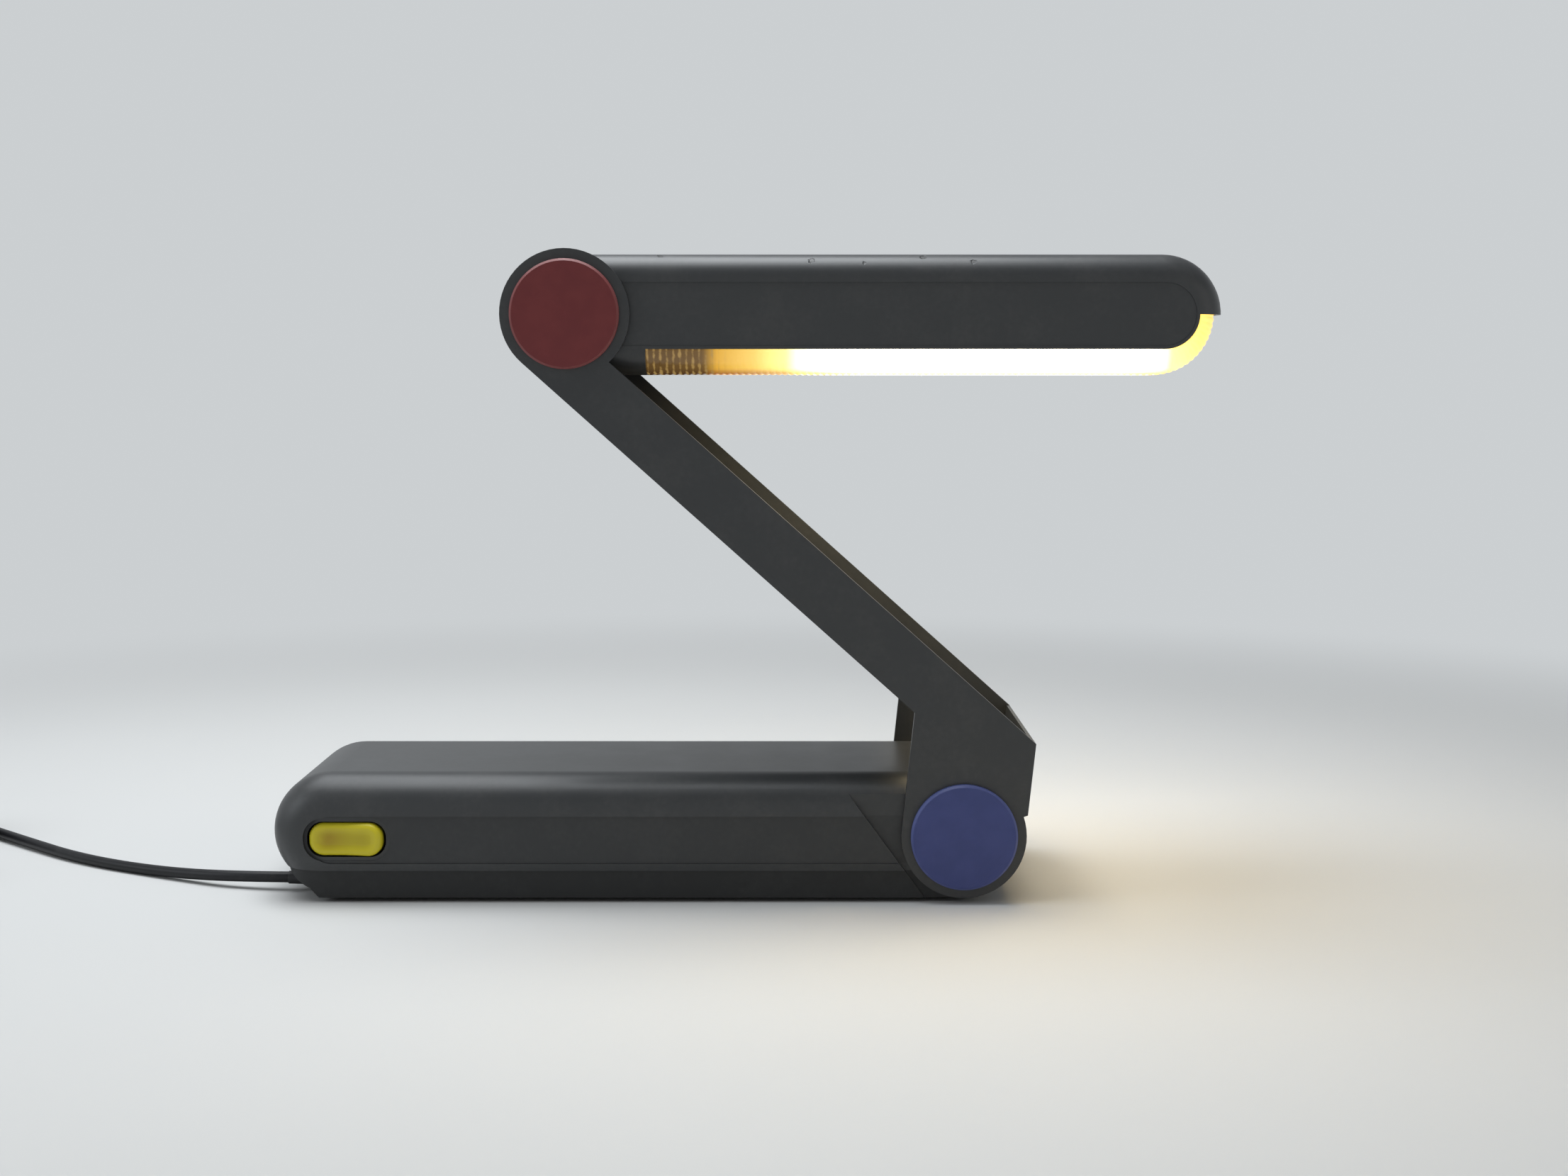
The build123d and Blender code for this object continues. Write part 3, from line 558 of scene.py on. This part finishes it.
def strapLoop(sizes):
    # a rounded rectangle round the bundle, swept by a thin flat section
    a = np.linspace(0, 2 * pi, 4 * sizes["perCorner"], endpoint=False)
    middle = np.array(((sizes["inner"] + sizes["outer"]) / 2, (sizes["bottom"] + sizes["top"]) / 2))
    reach = np.array(((sizes["outer"] - sizes["inner"]) / 2, (sizes["top"] - sizes["bottom"]) / 2))
    outward = np.stack([np.cos(a), np.sin(a)], -1)
    line = middle + np.sign(outward) * (reach - sizes["corner"]) + sizes["corner"] * outward
    section = np.array([(-1, -1), (1, -1), (1, 1), (-1, 1)]) * np.array((sizes["thick"] / 2, sizes["width"] / 2))
    flat = line[:, None] + outward[:, None] * section[None, :, :1]
    wide = np.repeat(section[None, :, 1], len(a), 0)
    ground = np.array((hub[0], hub[1], 0))
    return ground + flat[..., :1] * level + flat[..., 1:] * upright + wide[..., None] * across


coilTie = gridMesh("leadTie", strapLoop(tieSizes) * mm, finishes["cord_fitting"],
                   closeU=True, closeV=True, smooth=False)
closeSeams(coilTie)
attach(coilTie, "base")
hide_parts("coil_tie")
print("plug and tie placed")

# rocker: a pill-shaped paddle with soft edges, dished along its middle, its left half pressed
rockerSizes = dict(halfLong=16.4, halfHigh=7.4, corner=6.6, lift=6.4, dip=5.0, soft=3.0, edge=2.4, dish=0.6,
                   back=2.5, tilt=-5.0, perCorner=14, perLong=28, rows=18, edgeRows=9)


def pillOutline(perCorner, perLong):
    # a pill's outline in four numbers a point: the share of each straight half side, and the corner's direction
    bend = np.linspace(0, pi / 2, perCorner)
    run = np.linspace(1, -1, perLong)[1:-1]
    one = np.ones(perCorner)
    east, north, west, south = [np.stack([sx * one, sz * one, np.cos(bend + turn), np.sin(bend + turn)], -1)
                                for sx, sz, turn in ((1, 1, 0), (-1, 1, pi / 2), (-1, -1, pi), (1, -1, 1.5 * pi))]
    top = np.stack([run, np.ones(len(run)), 0 * run, np.ones(len(run))], -1)
    return np.concatenate([east, top, north, west, -top, south]).T


def paddleSurface(sizes):
    # rings of the pill's outline, inset step by step: from the dished face over a quarter-round edge,
    # down the side and across the back
    face = np.linspace(sizes["halfHigh"], sizes["edge"], sizes["rows"])
    swing = np.linspace(0, pi / 2, sizes["edgeRows"])[1:]
    rim = sizes["edge"] * (1 - np.sin(swing))
    inset = np.concatenate([face, rim, [0.0, sizes["halfHigh"]]])[:, None]
    drop = np.concatenate([0 * face, sizes["edge"] * (1 - np.cos(swing)), [0.0, 0.0]])[:, None]
    shareX, shareZ, c, s = pillOutline(sizes["perCorner"], sizes["perLong"])
    corner = np.maximum(sizes["corner"] - inset, 0)
    over = np.maximum(inset - sizes["corner"], 0)
    x = shareX * (sizes["halfLong"] - sizes["corner"] - over) + corner * c
    z = shareZ * (sizes["halfHigh"] - sizes["corner"] - over) + corner * s
    hill = np.sqrt(x * x + sizes["soft"] ** 2) / sizes["halfLong"]
    hollow = sizes["dish"] * np.clip(inset / sizes["edge"] - 1, 0, 1)
    y = -(sizes["dip"] + (sizes["lift"] - sizes["dip"]) * hill) + drop + hollow
    y[-2:] = sizes["back"]
    tip = radians(sizes["tilt"])
    return rockerPivot + np.stack([x * np.cos(tip) - y * np.sin(tip), x * np.sin(tip) + y * np.cos(tip), z], -1)


rockerPaddle = gridMesh("rockerPaddle", paddleSurface(rockerSizes) * mm, finishes["yellow_rocker"], closeV=True)
closeSeams(rockerPaddle)
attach(rockerPaddle, "rocker")
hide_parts("switch_rocker")
print("rocker placed")

# diffuser: the lower skin of the head bar with cross ribs
diffuserSizes = dict(start=34.45, end=255.0, inset=3.0, radius=26.0, edge=12.0, half=50.0, drop=15.05, wall=1.3,
                     pitch=2.8, ribDepth=0.45, perRib=8, acrossEdge=12, acrossFlat=10)


def ribbedSkin(sizes):
    # side path: level along the bottom, then a quarter turn up round the end; the section across is an arc,
    # a flat and an arc, up to the shell's lower edge; each rib is a shallow half-round between sharp valleys
    straight = sizes["end"] - sizes["start"]
    whole = straight + sizes["radius"] * pi / 2
    run = np.linspace(0, whole, int(whole / sizes["pitch"]) * sizes["perRib"] + 1)
    swing = np.clip((run - straight) / sizes["radius"], 0, pi / 2)
    pathX = sizes["start"] + np.minimum(run, straight) + sizes["radius"] * np.sin(swing)
    pathZ = -sizes["radius"] * np.cos(swing)
    inX, inZ = -np.sin(swing), np.cos(swing)
    # the shell's lower edge runs level to the end of its own straight, then round its own corner;
    # the limits 0.1 and 1.2 only keep the unused end of each form finite
    along = sizes["drop"] / np.maximum(np.cos(swing), 0.1)
    around = sizes["inset"] * np.sin(swing) + np.sqrt(sizes["drop"] ** 2 - (sizes["inset"] * np.cos(swing)) ** 2)
    shellEdge = np.where(sizes["drop"] * np.tan(np.minimum(swing, 1.2)) < sizes["inset"], along, around)
    stop = np.arccos(1 - (sizes["radius"] - shellEdge) / sizes["edge"])
    bend = stop[:, None] * np.linspace(1, 0, sizes["acrossEdge"])
    edgeY = sizes["half"] - sizes["edge"] + sizes["edge"] * np.sin(bend)
    edgeD = sizes["edge"] * (1 - np.cos(bend))
    flat = np.linspace(-1, 1, sizes["acrossFlat"])[1:-1] * (sizes["half"] - sizes["edge"])
    flat = np.repeat(flat[None, :], len(run), 0)
    y = np.concatenate([-edgeY, flat, edgeY[:, ::-1]], 1)
    d = np.concatenate([edgeD, 0 * flat, edgeD[:, ::-1]], 1)
    rib = sizes["ribDepth"] * np.abs(np.sin(pi * run / sizes["pitch"]))
    depth = d + (sizes["ribDepth"] - rib)[:, None]
    points = np.stack([pathX[:, None] + inX[:, None] * depth, y, pathZ[:, None] + inZ[:, None] * depth], -1)
    return points[:, ::-1] * mm + upperAxis


ribbedDiffuser = gridMesh("ribbedDiffuser", ribbedSkin(diffuserSizes), finishes["diffuser"])
thick = ribbedDiffuser.modifiers.new("wall", "SOLIDIFY")
thick.thickness = diffuserSizes["wall"] * mm
thick.offset = -1
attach(ribbedDiffuser, "head")
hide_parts("diffuser")
print("diffuser ribs placed")

# stage: a pale round floor that curves up into a low wall, open to cameras on every side
stageSizes = dict(reach=2.6, radius=0.7, height=1.5, bend=24, around=96, colour=rgb(0.62, 0.62, 0.61),
                  mottle=rgb(0.65, 0.65, 0.645), patch=0.4, rough=0.9, wall=rgb(0.60, 0.625, 0.64), fade=(0.5, 1.05))


def stageSurface(sizes):
    # a level run, a quarter turn and an upright run, turned round the upright axis
    a = np.linspace(0, pi / 2, sizes["bend"])
    bendOut = sizes["reach"] - sizes["radius"] + sizes["radius"] * np.sin(a)
    bendUp = sizes["radius"] * (1 - np.cos(a))
    out = np.concatenate([[0], bendOut, [sizes["reach"]]])[:, None]
    high = np.concatenate([[0], bendUp, [sizes["height"]]])[:, None]
    turn = np.linspace(0, 2 * pi, sizes["around"], endpoint=False)
    return np.stack([out * np.cos(turn), out * np.sin(turn), np.repeat(high, len(turn), 1)], -1)


def backdropPaper(name, look):
    # lit paper round the object; far from it the camera and the gloss see an even pale wall
    material, start, shader, where = newFinish(name, {"Roughness": look["rough"]})
    patch = noise(start, where, look["patch"])
    feed(start, shader, {"Base Color": mixColour(start, patch, look["colour"], look["mottle"])})
    rays = ("Is Camera Ray", "Is Glossy Ray", "Is Transmission Ray")
    seen = sum(start.make("ShaderNodeLightPath", out=kind) for kind in rays)
    far = seen * ramp(start, vectorMath(start, "LENGTH", where, out="Value"), *look["fade"])
    glow = start.make("ShaderNodeEmission", None, {"Color": look["wall"]})
    both = start.make("ShaderNodeMixShader", None, {0: far, 1: Sock(start.tree, shader.outputs[0]), 2: glow})
    start.tree.links.new(both.end, start.tree.nodes["Material Output"].inputs["Surface"])
    return material


paper = backdropPaper("backdropPaper", stageSizes)
floor = gridMesh("paperFloor", stageSurface(stageSizes), paper, closeV=True)
closeSeams(floor)

# lights: two soft boxes overhead, one from the left, a weak fill from the right, and an even sky
lights = {
    "overheadSoft": dict(place=(-0.35, 0.20, 1.20), aim=(-0.05, 0.0, 0.1),
                         size=1.0, power=13.0, colour=(0.93, 0.97, 1.0)),
    "topStrip": dict(place=(0.0, 0.02, 0.80), aim=(0.0, -0.02, 0.2),
                     size=0.4, power=2.2, colour=(0.93, 0.97, 1.0)),
    "leftSoft": dict(place=(-1.45, -0.45, 0.75), aim=(0.0, 0.0, 0.12),
                     size=0.8, power=3.6, colour=(0.90, 0.96, 1.0)),
    "rightFill": dict(place=(1.3, -0.9, 0.6), aim=(0.05, 0.0, 0.12),
                      size=1.0, power=1.5, colour=(1.0, 0.95, 0.88)),
}
for name, look in lights.items():
    data = bpy.data.lights.new(name, "AREA")
    data.size, data.energy, data.color = look["size"], look["power"], look["colour"]
    lamp = bpy.data.objects.new(name, data)
    lamp.location = look["place"]
    aimX, aimY, aimZ = np.array(look["aim"]) - np.array(look["place"])
    lamp.rotation_euler = (np.arctan2(np.hypot(aimX, aimY), -aimZ), 0, np.arctan2(aimY, aimX) - pi / 2)
    bpy.context.scene.collection.objects.link(lamp)

skyLook = {"Color": rgb(0.93, 0.96, 1.0), "Strength": 0.23}
sky = bpy.data.worlds.new("evenSky")
sky.use_nodes = True
for key, value in skyLook.items():
    sky.node_tree.nodes["Background"].inputs[key].default_value = value
bpy.context.scene.world = sky
bpy.context.scene.view_settings.view_transform = "Standard"
print("stage and lights set")
